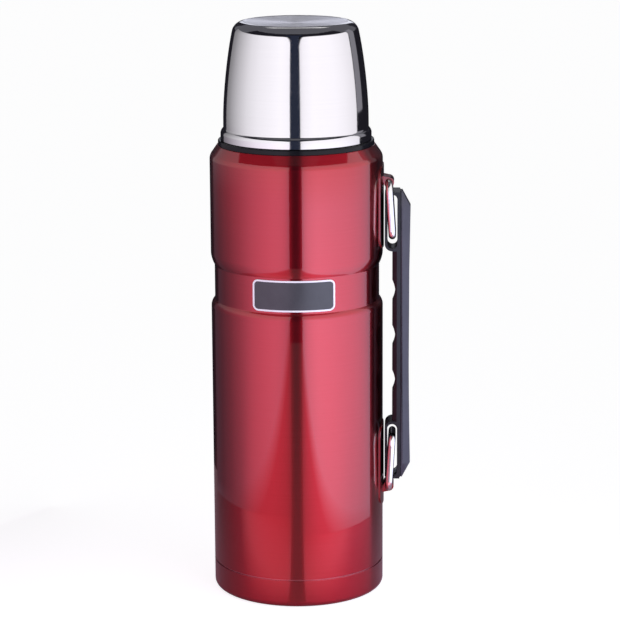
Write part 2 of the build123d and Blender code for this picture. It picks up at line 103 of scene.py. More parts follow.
# Fine rings left by turning and polishing a round part, in object metres about the upright axis
def turningRings():
    inputs = {"Lines": 900.0, "Wander": 0.6}
    tree, given, end = newGroup("turningRings", inputs, ["Value", "Height"])
    place = splitPlace(tree, given["Vector"])
    radius = calc(tree, "MAXIMUM", axisDistance(tree, place), 0.1 * mm)
    around = [
        calc(tree, "MULTIPLY", calc(tree, "DIVIDE", place[axis], radius), given["Wander"])
        for axis in "XY"
    ]
    across = calc(tree, "MULTIPLY", radius, given["Lines"])
    along = calc(tree, "MULTIPLY", place["Z"], given["Lines"])
    spot = put(tree, "ShaderNodeCombineXYZ", {0: around[0], 1: around[1], 2: across}).outputs[0]
    turned = {"Vector": spot, "W": along, "Scale": 1.0, "Detail": 3.0}
    rings = put(tree, "ShaderNodeTexNoise", turned, noise_dimensions="4D").outputs[0]
    tree.links.new(rescale(tree, rings, *noiseSpan), end["Value"])
    tree.links.new(rings, end["Height"])
    return tree


# Slow, uneven change over a surface: handling, polish and coating thickness
def softMottle():
    tree, given, end = newGroup("softMottle", {"Scale": 60.0, "Low": 0.0, "High": 1.0}, ["Value"])
    slow = {"Vector": given["Vector"], "Scale": given["Scale"], "Detail": 4.0, "Roughness": 0.6}
    cloud = put(tree, "ShaderNodeTexNoise", slow).outputs[0]
    levels = rescale(tree, cloud, *noiseSpan, given["Low"], given["High"])
    tree.links.new(levels, end["Value"])
    return tree


# Edges painted paler: a painted edge highlight that also stands for rubbed wear. 0 on open faces,
# 1 on a corner
def wornEdgeHighlight():
    tree, given, end = newGroup("wornEdgeHighlight", {"Reach": 0.6 * mm, "Amount": 1.0}, ["Mask"])
    rounded = put(tree, "ShaderNodeBevel", {"Radius": given["Reach"]}, samples=4).outputs[0]
    facing = put(tree, "ShaderNodeNewGeometry").outputs["Normal"]
    likeness = put(tree, "ShaderNodeVectorMath", {0: rounded, 1: facing}, operation="DOT_PRODUCT")
    edge = rescale(tree, likeness.outputs["Value"], 0.995, 0.9)
    fine = {"Vector": given["Vector"], "Scale": 900.0, "Detail": 3.0}
    patches = put(tree, "ShaderNodeTexNoise", fine).outputs[0]
    broken = calc(tree, "MULTIPLY", edge, rescale(tree, patches, 0.4, 0.65))
    tree.links.new(calc(tree, "MULTIPLY", broken, given["Amount"]), end["Mask"])
    return tree


# Spark-eroded mould texture: shallow rounded pits
def mouldGrain():
    tree, given, end = newGroup("mouldGrain", {"Scale": 2200.0}, ["Height", "Value"])
    fine = {"Vector": given["Vector"], "Scale": given["Scale"], "Detail": 2.0, "Roughness": 0.55}
    pits = put(tree, "ShaderNodeTexNoise", fine).outputs[0]
    tree.links.new(pits, end["Height"])
    tree.links.new(rescale(tree, pits, 0.35, 0.65), end["Value"])
    return tree


groups = {
    "rings": turningRings(), "mottle": softMottle(), "edgeHighlight": wornEdgeHighlight(), "grain": mouldGrain(),
}


def useGroup(tree, name, where, **inputs):
    node = put(tree, "ShaderNodeGroup", {"Vector": where, **inputs}, node_tree=groups[name])
    return node.outputs


def newMaterial(name, shader):
    material = bpy.data.materials.new(name)
    material.use_nodes = True
    tree = material.node_tree
    surface = next(node for node in tree.nodes if node.type == "BSDF_PRINCIPLED").inputs
    for label, value in shader.items():
        surface[label].default_value = value
    return material, tree, surface, put(tree, "ShaderNodeTexCoord").outputs["Object"]


# bump is (strength, depth in mm)
def addBump(tree, surface, height, bump):
    strength, depth = bump
    inputs = {"Height": height, "Strength": strength, "Distance": depth * mm}
    tree.links.new(put(tree, "ShaderNodeBump", inputs).outputs[0], surface["Normal"])


# Brushed steel under clear lacquer: the brushing runs round, so its glare spreads up and down
lacquer = {
    "shader": {
        "Metallic": 1.0, "Anisotropic": 1.0, "Anisotropic Rotation": 0.25, "Coat Weight": 1.0,
        "Coat Roughness": 0.02, "Coat IOR": 1.6,
    },
    # The pale edge colour is a painted edge highlight, standing also for light wear
    "edgeHighlightColour": (0.75, 0.45, 0.45, 1), "lines": 1500.0, "wander": 1.2, "ringShare": 0.6,
    "mottle": 35.0, "rough": (0.33, 0.38), "edgeHighlightReach": 0.4 * mm, "bump": (0.02, 0.02),
}
lacquers = {
    "redLacquer": {
        "deep": (0.46, 0.015, 0.026, 1), "bright": (0.50, 0.019, 0.033, 1), "markShare": 0.25,
    },
    # The brackets' lacquer is the body's red painted about half as bright: painted shade
    "bracketLacquer": {
        "deep": (0.22, 0.007, 0.012, 1), "bright": (0.27, 0.010, 0.018, 1), "markShare": 0.08,
    },
}


def redLacquer(name):
    look = {**lacquer, **lacquers[name]}
    material, tree, surface, where = newMaterial(name, look["shader"])
    rings = useGroup(tree, "rings", where, Lines=look["lines"], Wander=look["wander"])
    mottle = useGroup(tree, "mottle", where, Scale=look["mottle"])["Value"]
    edgeHighlight = useGroup(tree, "edgeHighlight", where, Reach=look["edgeHighlightReach"], Amount=look["markShare"])["Mask"]
    uneven = calc(tree, "MULTIPLY", mottle, 1.0 - look["ringShare"])
    shade = calc(tree, "MULTIPLY_ADD", rings["Value"], look["ringShare"], uneven)
    colour = blendColours(tree, shade, look["deep"], look["bright"])
    # Edges blend towards a paler red: painted edge highlight, standing also for light wear
    tree.links.new(blendColours(tree, edgeHighlight, colour, look["edgeHighlightColour"]), surface["Base Color"])
    tree.links.new(rescale(tree, shade, 0.0, 1.0, *look["rough"]), surface["Roughness"])
    addBump(tree, surface, rings["Height"], look["bump"])
    return material


# The cup's side is polished. Its flat end is as turned, so its glare spreads from the middle.
turnedSteels = {
    "mirrorSteel": {
        "shader": {"Metallic": 1.0},
        "clear": (0.80, 0.79, 0.80, 1), "dull": (0.785, 0.775, 0.785, 1), "lines": 2200.0,
        "wander": 0.5, "mottle": 45.0, "rough": (0.06, 0.09), "ringRough": 0.008,
        "bump": (0.002, 0.02),
    },
    "spunSteel": {
        "shader": {"Metallic": 1.0, "Anisotropic": 0.85, "Anisotropic Rotation": 0.25},
        "clear": (0.80, 0.79, 0.82, 1), "dull": (0.72, 0.71, 0.74, 1), "lines": 2600.0,
        "wander": 0.3, "mottle": 60.0, "rough": (0.26, 0.32), "ringRough": 0.04,
        "bump": (0.02, 0.02),
    },
}


def turnedSteel(name):
    look = turnedSteels[name]
    low, high = look["rough"]
    material, tree, surface, where = newMaterial(name, look["shader"])
    rings = useGroup(tree, "rings", where, Lines=look["lines"], Wander=look["wander"])
    mottle = useGroup(tree, "mottle", where, Scale=look["mottle"], Low=low, High=high)["Value"]
    rough = calc(tree, "MULTIPLY_ADD", rings["Value"], look["ringRough"], mottle)
    colour = blendColours(tree, rings["Value"], look["clear"], look["dull"])
    tree.links.new(rough, surface["Roughness"])
    tree.links.new(colour, surface["Base Color"])
    addBump(tree, surface, rings["Height"], look["bump"])
    return material


# Brushed steel; red lacquer that ran through a seam stains it from the painted radius outwards
satin = {
    "clear": (0.66, 0.65, 0.66, 1), "dull": (0.50, 0.50, 0.52, 1), "mist": (0.62, 0.20, 0.24, 1),
    "lines": 1600.0, "wander": 0.8, "rough": (0.22, 0.36), "mottle": 30.0, "uneven": 0.04,
    "mistEdge": 0.2 * mm, "bump": (0.15, 0.03),
}


def satinSteel(name, painted=None):
    material, tree, surface, where = newMaterial(name, {"Metallic": 1.0})
    rings = useGroup(tree, "rings", where, Lines=satin["lines"], Wander=satin["wander"])
    spread = {"Scale": satin["mottle"], "Low": -satin["uneven"], "High": satin["uneven"]}
    mottle = useGroup(tree, "mottle", where, **spread)["Value"]
    rough = rescale(tree, rings["Value"], 0.0, 1.0, *satin["rough"])
    tree.links.new(calc(tree, "ADD", rough, mottle), surface["Roughness"])
    colour = blendColours(tree, rings["Value"], satin["clear"], satin["dull"])
    if painted:
        distance = axisDistance(tree, splitPlace(tree, where))
        reached = rescale(tree, distance, painted - satin["mistEdge"], painted)
        colour = blendColours(tree, reached, colour, satin["mist"])
    tree.links.new(colour, surface["Base Color"])
    addBump(tree, surface, rings["Height"], satin["bump"])
    return material


def chromeWire():
    look = {
        "clear": (0.86, 0.85, 0.82, 1), "worn": (0.62, 0.61, 0.60, 1), "markShare": 0.4,
        "scuffs": 400.0, "rough": (0.04, 0.12), "drawn": 1500.0, "bump": (0.04, 0.02),
    }
    material, tree, surface, where = newMaterial("chromeWire", {"Metallic": 1.0})
    scuff = useGroup(tree, "mottle", where, Scale=look["scuffs"])["Value"]
    drawn = useGroup(tree, "grain", where, Scale=look["drawn"])["Height"]
    worn = calc(tree, "MULTIPLY", scuff, look["markShare"])
    tree.links.new(rescale(tree, scuff, 0.0, 1.0, *look["rough"]), surface["Roughness"])
    tree.links.new(blendColours(tree, worn, look["clear"], look["worn"]), surface["Base Color"])
    addBump(tree, surface, drawn, look["bump"])
    return material


# Plastics and rubber out of a mould. What one leaves out is as it stands in the first.
plastics = {
    "handlePlastic": {
        "dark": (0.036, 0.034, 0.048, 1), "light": (0.050, 0.047, 0.064, 1), "rough": (0.28, 0.38),
        # The paler edge colour is a painted edge highlight, standing also for light wear
        "grain": 2200.0, "bump": (0.25, 0.04), "gloss": 0.5, "mottle": 90.0, "edgeHighlight": 0.2,
        "edgeHighlightReach": 0.5 * mm, "pitRough": 0.05, "edgeHighlightPaler": (2.2, 0.02),
    },
    # The grip is the cover's black plastic painted darker: painted shade on the handle's inner
    # half
    "gripPlastic": {
        "dark": (0.011, 0.011, 0.014, 1), "light": (0.019, 0.018, 0.023, 1), "gloss": 0.25,
    },
    "collarPlastic": {
        "dark": (0.006, 0.006, 0.008, 1), "light": (0.010, 0.010, 0.013, 1), "rough": (0.12, 0.20),
        "gloss": 0.2,
    },
    "badgeField": {
        "dark": (0.040, 0.041, 0.046, 1), "light": (0.055, 0.056, 0.062, 1), "rough": (0.32, 0.42),
        "grain": 3500.0, "bump": (0.3, 0.04),
    },
    "badgeRim": {
        "dark": (0.78, 0.78, 0.80, 1), "light": (0.88, 0.88, 0.90, 1), "rough": (0.25, 0.35),
        "grain": 3500.0, "bump": (0.1, 0.04),
    },
    "sealRubber": {
        "dark": (0.36, 0.36, 0.37, 1), "light": (0.46, 0.46, 0.47, 1), "rough": (0.45, 0.6),
        "grain": 1600.0,
    },
}


def mouldedPlastic(name):
    look = {**plastics["handlePlastic"], **plastics[name]}
    low, high = look["rough"]
    times, more = look["edgeHighlightPaler"]
    paler = tuple(min(1.0, value * times + more) for value in look["light"][:3]) + (1,)
    shader = {"IOR": 1.5, "Specular IOR Level": look["gloss"]}
    material, tree, surface, where = newMaterial(name, shader)
    pits = useGroup(tree, "grain", where, Scale=look["grain"])
    mottle = useGroup(tree, "mottle", where, Scale=look["mottle"])["Value"]
    edgeHighlight = useGroup(tree, "edgeHighlight", where, Reach=look["edgeHighlightReach"], Amount=look["edgeHighlight"])["Mask"]
    base = blendColours(tree, mottle, look["dark"], look["light"])
    # Edges blend towards a paler colour: painted edge highlight, standing also for light wear
    tree.links.new(blendColours(tree, edgeHighlight, base, paler), surface["Base Color"])
    rough = calc(tree, "MULTIPLY_ADD", mottle, high - low, low)
    rough = calc(tree, "MULTIPLY_ADD", pits["Value"], look["pitRough"], rough)
    tree.links.new(rough, surface["Roughness"])
    addBump(tree, surface, pits["Height"], look["bump"])
    return material


# Metals that are soft or left as they came: foil, solder and the getter's pill
softMetalBump = (0.4, 0.1)
softMetals = {
    "brightFoil": {
        "clear": (0.85, 0.85, 0.86, 1), "dull": (0.7, 0.7, 0.72, 1), "rough": (0.10, 0.28),
        "scale": 220.0,
    },
    "greySolder": {
        "clear": (0.55, 0.55, 0.57, 1), "dull": (0.38, 0.38, 0.4, 1), "rough": (0.35, 0.55),
        "scale": 500.0,
    },
    "getterMetal": {
        "clear": (0.30, 0.29, 0.28, 1), "dull": (0.2, 0.2, 0.2, 1), "rough": (0.5, 0.7),
        "scale": 700.0,
    },
}


def softMetal(name):
    look = softMetals[name]
    low, high = look["rough"]
    material, tree, surface, where = newMaterial(name, {"Metallic": 1.0})
    cloud = useGroup(tree, "mottle", where, Scale=look["scale"])["Value"]
    pits = useGroup(tree, "grain", where, Scale=look["scale"] * 6)["Height"]
    colour = blendColours(tree, cloud, look["clear"], look["dull"])
    tree.links.new(colour, surface["Base Color"])
    tree.links.new(calc(tree, "MULTIPLY_ADD", cloud, high - low, low), surface["Roughness"])
    addBump(tree, surface, pits, softMetalBump)
    return material


def foamBlock():
    look = {
        "pale": (0.74, 0.72, 0.66, 1), "pore": (0.50, 0.48, 0.42, 1), "cells": 1400.0,
        "cellEdge": 0.6, "bump": (0.5, 0.3),
    }
    material, tree, surface, where = newMaterial("foamBlock", {"Roughness": 0.9})
    cellNode = put(tree, "ShaderNodeTexVoronoi", {"Vector": where, "Scale": look["cells"]})
    cells = cellNode.outputs["Distance"]
    depth = rescale(tree, cells, 0.0, look["cellEdge"], 1.0, 0.0)
    tree.links.new(blendColours(tree, depth, look["pale"], look["pore"]), surface["Base Color"])
    addBump(tree, surface, cells, look["bump"])
    return material


finishes = {
    **{name: redLacquer(name) for name in lacquers},
    **{name: turnedSteel(name) for name in turnedSteels},
    "satinSteel": satinSteel("satinSteel"),
    "seamSteel": satinSteel("seamSteel", painted=46.4 * mm),
    "chromeWire": chromeWire(),
    **{name: mouldedPlastic(name) for name in plastics},
    "foamBlock": foamBlock(),
    **{name: softMetal(name) for name in softMetals},
}
print("materials made:", len(finishes))


# Mesh helpers. Shapes are in mm, and an outline's corners are (radius, height, rounding).
def drawOutline(points, least=5):
    bm = bmesh.new()
    corners = [bm.verts.new((radius * mm, 0, height * mm)) for radius, height, rounding in points]
    for corner, following in zip(corners, corners[1:] + corners[:1]):
        bm.edges.new((corner, following))
    for corner, (radius, height, rounding) in zip(corners, points):
        if rounding:
            segments = max(least, min(24, int(rounding * 3)))  # three to a mm on a wide bend
            bmesh.ops.bevel(
                bm, geom=[corner], offset=rounding * mm, offset_type="OFFSET", segments=segments,
                profile=0.5, affect="VERTICES", material=-1,
            )
    return bm


def spinRound(bm, steps):
    bmesh.ops.spin(
        bm, geom=bm.verts[:] + bm.edges[:], cent=(0, 0, 0), axis=upright, dvec=(0, 0, 0),
        angle=2 * pi, steps=steps, use_merge=True, use_duplicate=False,
    )
    bmesh.ops.remove_doubles(bm, verts=bm.verts[:], dist=tiny)
    bmesh.ops.dissolve_degenerate(bm, dist=tiny, edges=bm.edges[:])
    return bm


# One helical ridge with closed ends, as its own shell sunk into the wall it stands on
thread = {"pitch": 3.6, "turns": 2, "width": 1.9, "sink": 0.3, "steps": 60}


def addThread(bm, root, crest, foot):
    sunk = root - thread["sink"] if crest > root else root + thread["sink"]
    half, quarter = thread["width"] / 2, thread["width"] / 4
    section = [
        (sunk, foot - half), (crest, foot - quarter), (crest, foot + quarter), (sunk, foot + half),
    ]
    corners = [bm.verts.new((radius * mm, 0, height * mm)) for radius, height in section]
    bmesh.ops.spin(
        bm, geom=[bm.faces.new(corners)], cent=(0, 0, 0), axis=upright,
        dvec=(0, 0, thread["pitch"] * mm / thread["steps"]), angle=2 * pi * thread["turns"],
        steps=thread["steps"] * thread["turns"], use_duplicate=False,
    )


def finishPiece(name, bm, body, node, slotName, *materials, turnOut=True):
    if turnOut:
        bmesh.ops.recalc_face_normals(bm, faces=bm.faces[:])
    mesh = bpy.data.meshes.new(name)
    bm.to_mesh(mesh)
    bm.free()
    mesh.shade_smooth()
    piece = bpy.data.objects.new(name, mesh)
    scene.collection.objects.link(piece)
    for material in materials:
        mesh.materials.append(finishes[material])
    even = piece.modifiers.new("evenNormals", "WEIGHTED_NORMAL")
    even.keep_sharp = True
    even.weight = 60
    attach(piece, body)
    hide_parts(node)
    return piece


def cadSizes(node):
    low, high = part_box(node)
    return high.x / mm, low.z / mm, high.z / mm


# Outer shell of the bottle, with its waist band, shoulder and bare steel neck
def makeShell():
    shape = {
        "wall": 0.5, "lowerHeight": 143.4, "waistDepth": 2.0, "stepHeight": 4.4,
        "bandHeight": 19.2, "rollHeight": 7.0, "upperHeight": 51.0, "shoulderRound": 5.0,
        "shoulderLean": 35.0, "shoulderInset": 4.2, "shoulderEdge": 0.25, "neck": 30.4,
        "mouth": 27.5, "footEdge": 0.2, "innerFootEdge": 0.1, "steps": 192,
        "bareFrom": 0.3,  # above the shoulder, where the lacquer stops
        # rounding of each bend as a share of the longest that fits, outside and inside
        "stepBlend": 0.86, "bandFootBlend": 0.12, "bandTopBlend": 0.08, "rollBlend": 0.9,
        "innerStepBlend": 0.8, "innerRollBlend": 0.85,
        # shares of the wall: the lip's rounding, and the inner bends' shift from the outer ones
        "lip": 0.44, "innerStepShift": 0.2, "innerRollShift": 0.2, "innerBendShift": 0.3,
    }
    radius, foot, top = cadSizes("outer_shell")
    shoulder = cadSizes("neck_collar")[1]
    wall, depth, lip = shape["wall"], shape["waistDepth"], shape["wall"] * shape["lip"]
    stepFoot = foot + shape["lowerHeight"]
    bandFoot = stepFoot + shape["stepHeight"]
    bandTop = bandFoot + shape["bandHeight"]
    rollTop = bandTop + shape["rollHeight"]
    stepReach = (depth**2 + shape["stepHeight"] ** 2) / (2 * shape["stepHeight"])
    rollReach = (depth**2 + shape["rollHeight"] ** 2) / (2 * shape["rollHeight"])
    lean = radians(shape["shoulderLean"])
    turn = shape["shoulderRound"] * tan(lean / 2)
    bend = rollTop + shape["upperHeight"] + turn
    neck, inset = shape["neck"], radius - shape["shoulderInset"]
    innerStep = stepFoot + stepReach - wall * shape["innerStepShift"]
    innerRoll = rollTop - rollReach + wall * shape["innerRollShift"]
    outline = [
        (radius, foot, shape["footEdge"]),
        (radius, stepFoot + stepReach, stepReach * shape["stepBlend"]),
        (radius - depth, bandFoot, stepReach * shape["bandFootBlend"]),
        (radius - depth, bandTop, rollReach * shape["bandTopBlend"]),
        (radius, rollTop - rollReach, rollReach * shape["rollBlend"]),
        (radius, bend, turn),
        (inset, shoulder, shape["shoulderEdge"]),
        (neck, shoulder, 0),
        (neck, top, lip),
        (shape["mouth"], top, lip),
        (shape["mouth"], top - wall, 0),
        (neck - wall, top - wall, 0),
        (neck - wall, shoulder - wall, 0),
        (inset + wall * tan(lean) - wall / cos(lean), shoulder - wall, 0),
        (radius - wall, bend - wall * shape["innerBendShift"], turn),
        (radius - wall, innerRoll, rollReach * shape["innerRollBlend"]),
        (radius - depth - wall, bandTop, 0),
        (radius - depth - wall, bandFoot, 0),
        (radius - wall, innerStep, stepReach * shape["innerStepBlend"]),
        (radius - wall, foot, shape["innerFootEdge"]),
    ]
    bm = spinRound(drawOutline(outline), shape["steps"])
    for face in bm.faces:
        if face.calc_center_median().z > (shoulder + shape["bareFrom"]) * mm:
            face.material_index = 1  # the bare neck
    looks = ("redLacquer", "satinSteel")
    return finishPiece("lacqueredShell", bm, "bottle", "outer_shell", "red_lacquer", *looks)


# Pressed base below the seam: a foot ring, a recess and a middle panel
def makeBaseCap():
    shape = {
        "wall": 0.5, "round": 3.4, "footWidth": 6.5, "recess": 1.6, "boss": 12.0, "edge": 0.5,
        "innerEdge": 0.3, "seamEdge": 0.2, "innerSeamEdge": 0.1, "steps": 192,
    }
    radius, foot, top = cadSizes("base_cap")
    wall, recess, boss = shape["wall"], shape["recess"], shape["boss"]
    edge, innerEdge = shape["edge"], shape["innerEdge"]
    ring = radius - shape["round"] - shape["footWidth"]
    outline = [
        (radius, top, shape["seamEdge"]),
        (radius, foot, shape["round"]),
        (ring, foot, edge),
        (ring - recess, foot + recess, edge),
        (boss + recess, foot + recess, edge),
        (boss, foot, edge),
        (0, foot, 0),
        (0, foot + wall, 0),
        (boss - wall / 2, foot + wall, innerEdge),
        (boss + recess - wall / 2, foot + recess + wall, innerEdge),
        (ring - recess + wall / 2, foot + recess + wall, innerEdge),
        (ring + wall / 2, foot + wall, innerEdge),
        (radius - wall, foot + wall, shape["round"] - wall),
        (radius - wall, top, shape["innerSeamEdge"]),
    ]
    bm = spinRound(drawOutline(outline), shape["steps"])
    return finishPiece("footCap", bm, "bottle", "base_cap", "red_lacquer", "redLacquer")


# Black ring on the shoulder, with the thread that the cup screws onto
def makeCollar():
    shape = {
        "flangeHeight": 2.7, "flangeRound": 0.6, "wall": 34.0, "thread": 35.15, "bore": 30.4,
        "threadStart": 3.2, "topRound": 0.8, "edge": 0.2, "steps": 144,
    }
    radius, foot, top = cadSizes("neck_collar")
    wall, bore, edge = shape["wall"], shape["bore"], shape["edge"]
    flange = foot + shape["flangeHeight"]
    outline = [
        (bore, foot, 0),
        (radius, foot, edge),
        (radius, flange, shape["flangeRound"]),
        (wall, flange, edge),
        (wall, top, shape["topRound"]),
        (bore, top, edge),
    ]
    bm = spinRound(drawOutline(outline), shape["steps"])
    addThread(bm, wall, shape["thread"], flange + shape["threadStart"])
    finish = ("collar_plastic", "collarPlastic")
    return finishPiece("threadedCollar", bm, "bottle", "neck_collar", *finish)


# The cup's outside: a turned-out rim, a bellied side and a flat end with a shallow dish
cupTaper = 7.1  # the liner shares it


def makeCupShell():
    # each corner is (shift, rounding), and the inner ones follow the same bends inside
    shape = {
        "wall": 0.5, "rimHeight": 4.0, "rimStep": 1.5, "rimBlend": 2.3, "rimEdge": 0.2,
        "rimCorner": (0.6, 1.3), "sideCorner": (2.0, 0.7), "belly": 1.6, "bellyReach": 0.385,
        "topRound": 4.0, "topFall": 0.85, "topCorner": (0.9, 4.2), "dishStep": 0.3,
        "dishDepth": 1.1, "dishEdge": 0.9, "dishRounds": (0.3, 0.4), "steps": 192, "bevels": 9,
        "innerTop": (0.6, 3.8), "innerSide": 0.5, "innerRim": (0.2, 0.8),
        "innerDishRounds": (0.2, 0.3),
    }
    radius, foot, top = cadSizes("cup_shell")
    bore = cadSizes("cup_thread_ring")[0]
    wall = shape["wall"]
    side = radius - shape["rimStep"]
    edge = side - cupTaper
    dish = edge - shape["topRound"]
    dishFoot = dish - shape["dishEdge"]
    rimTop = foot + shape["rimHeight"]
    sideFoot = rimTop + shape["sideCorner"][0]
    corner, step = top - shape["topFall"], top - shape["dishStep"]
    end = top - shape["dishDepth"]
    middle = (rimTop + shape["rimBlend"] + top) / 2
    belly = (side + edge) / 2 + 2 * shape["belly"]
    reach = (top - rimTop) * shape["bellyReach"]
    outline = [
        (radius, foot, shape["rimEdge"]),
        (radius, rimTop + shape["rimCorner"][0], shape["rimCorner"][1]),
        (side, sideFoot, shape["sideCorner"][1]),
        (belly, middle, reach),
        (edge + shape["topCorner"][0], corner, shape["topCorner"][1]),
        (dish, top, shape["dishRounds"][0]),
        (dishFoot, step, shape["dishRounds"][1]),
        (0, end, 0),
        (0, end - wall, 0),
        (dishFoot - wall, step - wall, shape["innerDishRounds"][1]),
        (dish - wall, top - wall, shape["innerDishRounds"][0]),
        (edge + shape["innerTop"][0] - wall, corner - wall, shape["innerTop"][1]),
        (belly - wall, middle, reach),
        (side - wall, sideFoot, shape["innerSide"]),
        (radius - wall, rimTop + shape["innerRim"][0], shape["innerRim"][1]),
        (radius - wall, foot + wall, 0),
        (bore, foot + wall, 0),
        (bore, foot, 0),
    ]
    bm = spinRound(drawOutline(outline, shape["bevels"]), shape["steps"])
    bmesh.ops.recalc_face_normals(bm, faces=bm.faces[:])
    for face in bm.faces:
        spot = face.calc_center_median() / mm
        if spot.z > end - wall / 2 and spot.xy.length < dish and face.normal.z > 0.5:
            face.material_index = 1  # the flat end
    looks = ("mirrorSteel", "spunSteel")
    return finishPiece("polishedCup", bm, "cup", "cup_shell", "polished_steel", *looks)


# Satin inner wall of the cup, standing on the thread ring
def makeCupLiner():
    shape = {
        "wall": 0.5, "edgeInset": 0.4, "sideStart": 14.2, "sideRound": 0.4, "belly": 2.4,
        "bellyReach": 0.46, "corner": (1.0, 5.0), "innerCornerRound": 4.6, "topDrop": 6.0,
        "steps": 144,
    }
    radius, foot, top = cadSizes("cup_liner")
    wall = shape["wall"]
    edge = radius - cupTaper - shape["edgeInset"]
    low, high = foot + shape["sideStart"], top - shape["topDrop"]
    middle, belly = (low + high) / 2, (radius + edge) / 2 + shape["belly"]
    reach = (high - low) * shape["bellyReach"]
    corner = edge - shape["corner"][0]
    outline = [
        (radius, foot, 0),
        (radius, low, shape["sideRound"]),
        (belly, middle, reach),
        (corner, top, shape["corner"][1]),
        (0, top, 0),
        (0, top - wall, 0),
        (corner - wall, top - wall, shape["innerCornerRound"]),
        (belly - wall, middle, reach),
        (radius - wall, low, shape["sideRound"]),
        (radius - wall, foot, 0),
    ]
    bm = spinRound(drawOutline(outline), shape["steps"])
    return finishPiece("cupLiner", bm, "cup", "cup_liner", "satin_steel", "satinSteel")


# Ring in the cup's mouth, with the thread that meets the collar's
def makeCupRing():
    shape = {
        "wall": 0.9, "threadDepth": 1.15, "threadStart": 2.2, "edge": 0.1, "innerEdge": 0.3,
        "steps": 144,
    }
    radius, foot, top = cadSizes("cup_thread_ring")
    root = radius - shape["wall"]
    edge, innerEdge = shape["edge"], shape["innerEdge"]
    outline = [
        (radius, foot, edge), (root, foot, innerEdge), (root, top, innerEdge), (radius, top, edge),
    ]
    bm = spinRound(drawOutline(outline), shape["steps"])
    addThread(bm, root, root - shape["threadDepth"], foot + shape["threadStart"])
    finish = ("collar_plastic", "collarPlastic")
    return finishPiece("cupThreadRing", bm, "cup", "cup_thread_ring", *finish)


# Inner flask: only its mouth, seat and belly show when the stopper is out
def makeInnerFlask():
    shape = {
        "wall": 0.4, "mouth": 27.5, "seatWidth": 2.5, "seatDepth": 24.0, "seatEdge": 0.3,
        "seatRounds": (0.4, 1.2), "throatRound": 1.0, "shoulderDrop": 13.0,
        "shoulder": (7.0, 6.8), "innerShoulder": (6.4, 6.2), "corner": 9.0, "steps": 144,
    }
    radius, foot, top = cadSizes("inner_flask")
    neckTop = cadSizes("outer_shell")[2]
    shoulder = cadSizes("neck_collar")[1] - shape["shoulderDrop"]
    wall, mouth, edge = shape["wall"], shape["mouth"], shape["seatEdge"]
    throat = mouth - shape["seatWidth"]
    seat = neckTop - shape["seatDepth"]
    seatFoot = seat - shape["seatWidth"]
    side = radius - wall
    outline = [
        (0, foot, 0),
        (radius, foot, shape["corner"] + wall),
        (radius, shoulder + shape["shoulder"][0], shape["shoulder"][1]),
        (throat + wall, seatFoot + wall, shape["throatRound"]),
        (throat + wall, seat - wall, 0),
        (mouth + wall, seat - wall, edge),
        (mouth + wall, top, 0),
        (mouth, top, 0),
        (mouth, seat, edge),
        (throat, seat, shape["seatRounds"][0]),
        (throat, seatFoot, shape["seatRounds"][1]),
        (side, shoulder + shape["innerShoulder"][0], shape["innerShoulder"][1]),
        (side, foot + wall, shape["corner"]),
        (0, foot + wall, 0),
    ]
    bm = spinRound(drawOutline(outline), shape["steps"])
    return finishPiece("innerFlask", bm, "bottle", "inner_flask", "satin_steel", "satinSteel")


# Plain plate on the waist band: a flat field inside a thin raised border, pressed onto the curve
def makeBadge():
    shape = {
        "width": 44.0, "height": 17.0, "corner": 3.0, "thickness": 0.6, "edge": 0.12,
        "border": 0.75, "slope": 0.1, "sink": 0.2, "columns": 24,
    }
    low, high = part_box("badge_plate")
    middle = (low.z + high.z) / 2
    half, tall = shape["width"] * mm / 2, shape["height"] * mm / 2
    bm = bmesh.new()
    signs = ((-1, -1), (1, -1), (1, 1), (-1, 1))
    corners = [bm.verts.new((x * half, 0, middle + z * tall)) for x, z in signs]
    bm.faces.new(corners)
    bmesh.ops.bevel(
        bm, geom=corners, offset=shape["corner"] * mm, offset_type="OFFSET", segments=8,
        profile=0.5, affect="VERTICES", material=-1,
    )
    raised = bmesh.ops.extrude_face_region(bm, geom=bm.faces[:])["geom"]
    front = next(item for item in raised if isinstance(item, bmesh.types.BMFace))
    bmesh.ops.translate(bm, verts=front.verts[:], vec=(0, -shape["thickness"] * mm, 0))
    bmesh.ops.bevel(
        bm, geom=front.edges[:], offset=shape["edge"] * mm, offset_type="OFFSET", segments=2,
        profile=0.5, affect="EDGES", material=-1,
    )
    front = min(
        bm.faces, key=lambda face: (round(face.calc_center_median().y, 7), -face.calc_area()),
    )
    for rim in ("border", "slope"):
        bmesh.ops.inset_region(
            bm, faces=[front], thickness=shape[rim] * mm, use_even_offset=True,
        )
    bmesh.ops.translate(bm, verts=front.verts[:], vec=(0, shape["sink"] * mm, 0))
    front.material_index = 1
    for column in range(1, shape["columns"]):
        cut = half * (2 * column / shape["columns"] - 1)
        bmesh.ops.bisect_plane(
            bm, geom=bm.verts[:] + bm.edges[:] + bm.faces[:], dist=tiny,
            plane_co=(cut, 0, 0), plane_no=(1, 0, 0),
        )
    back = -low.y - shape["thickness"] * mm  # radius of the band it lies on
    for vert in bm.verts:
        vert.co.y = -(((back - vert.co.y) ** 2 - vert.co.x**2) ** 0.5)
    looks = ("badgeRim", "badgeField")
    return finishPiece("badgePlate", bm, "bottle", "badge_plate", "badge", *looks)


turnedPieces = [
    makeShell(), makeBaseCap(), makeCollar(), makeCupShell(), makeCupLiner(), makeCupRing(),
    makeInnerFlask(),
]
badge = makeBadge()
print("turned pieces made:", len(turnedPieces), "and", badge.name)


# A copy of a CAD piece with its triangles merged, its flats made whole and its edges rounded
soften = {"merge": 0.002, "sliver": 0.001, "flatWithin": 0.6, "sharpFrom": 22}


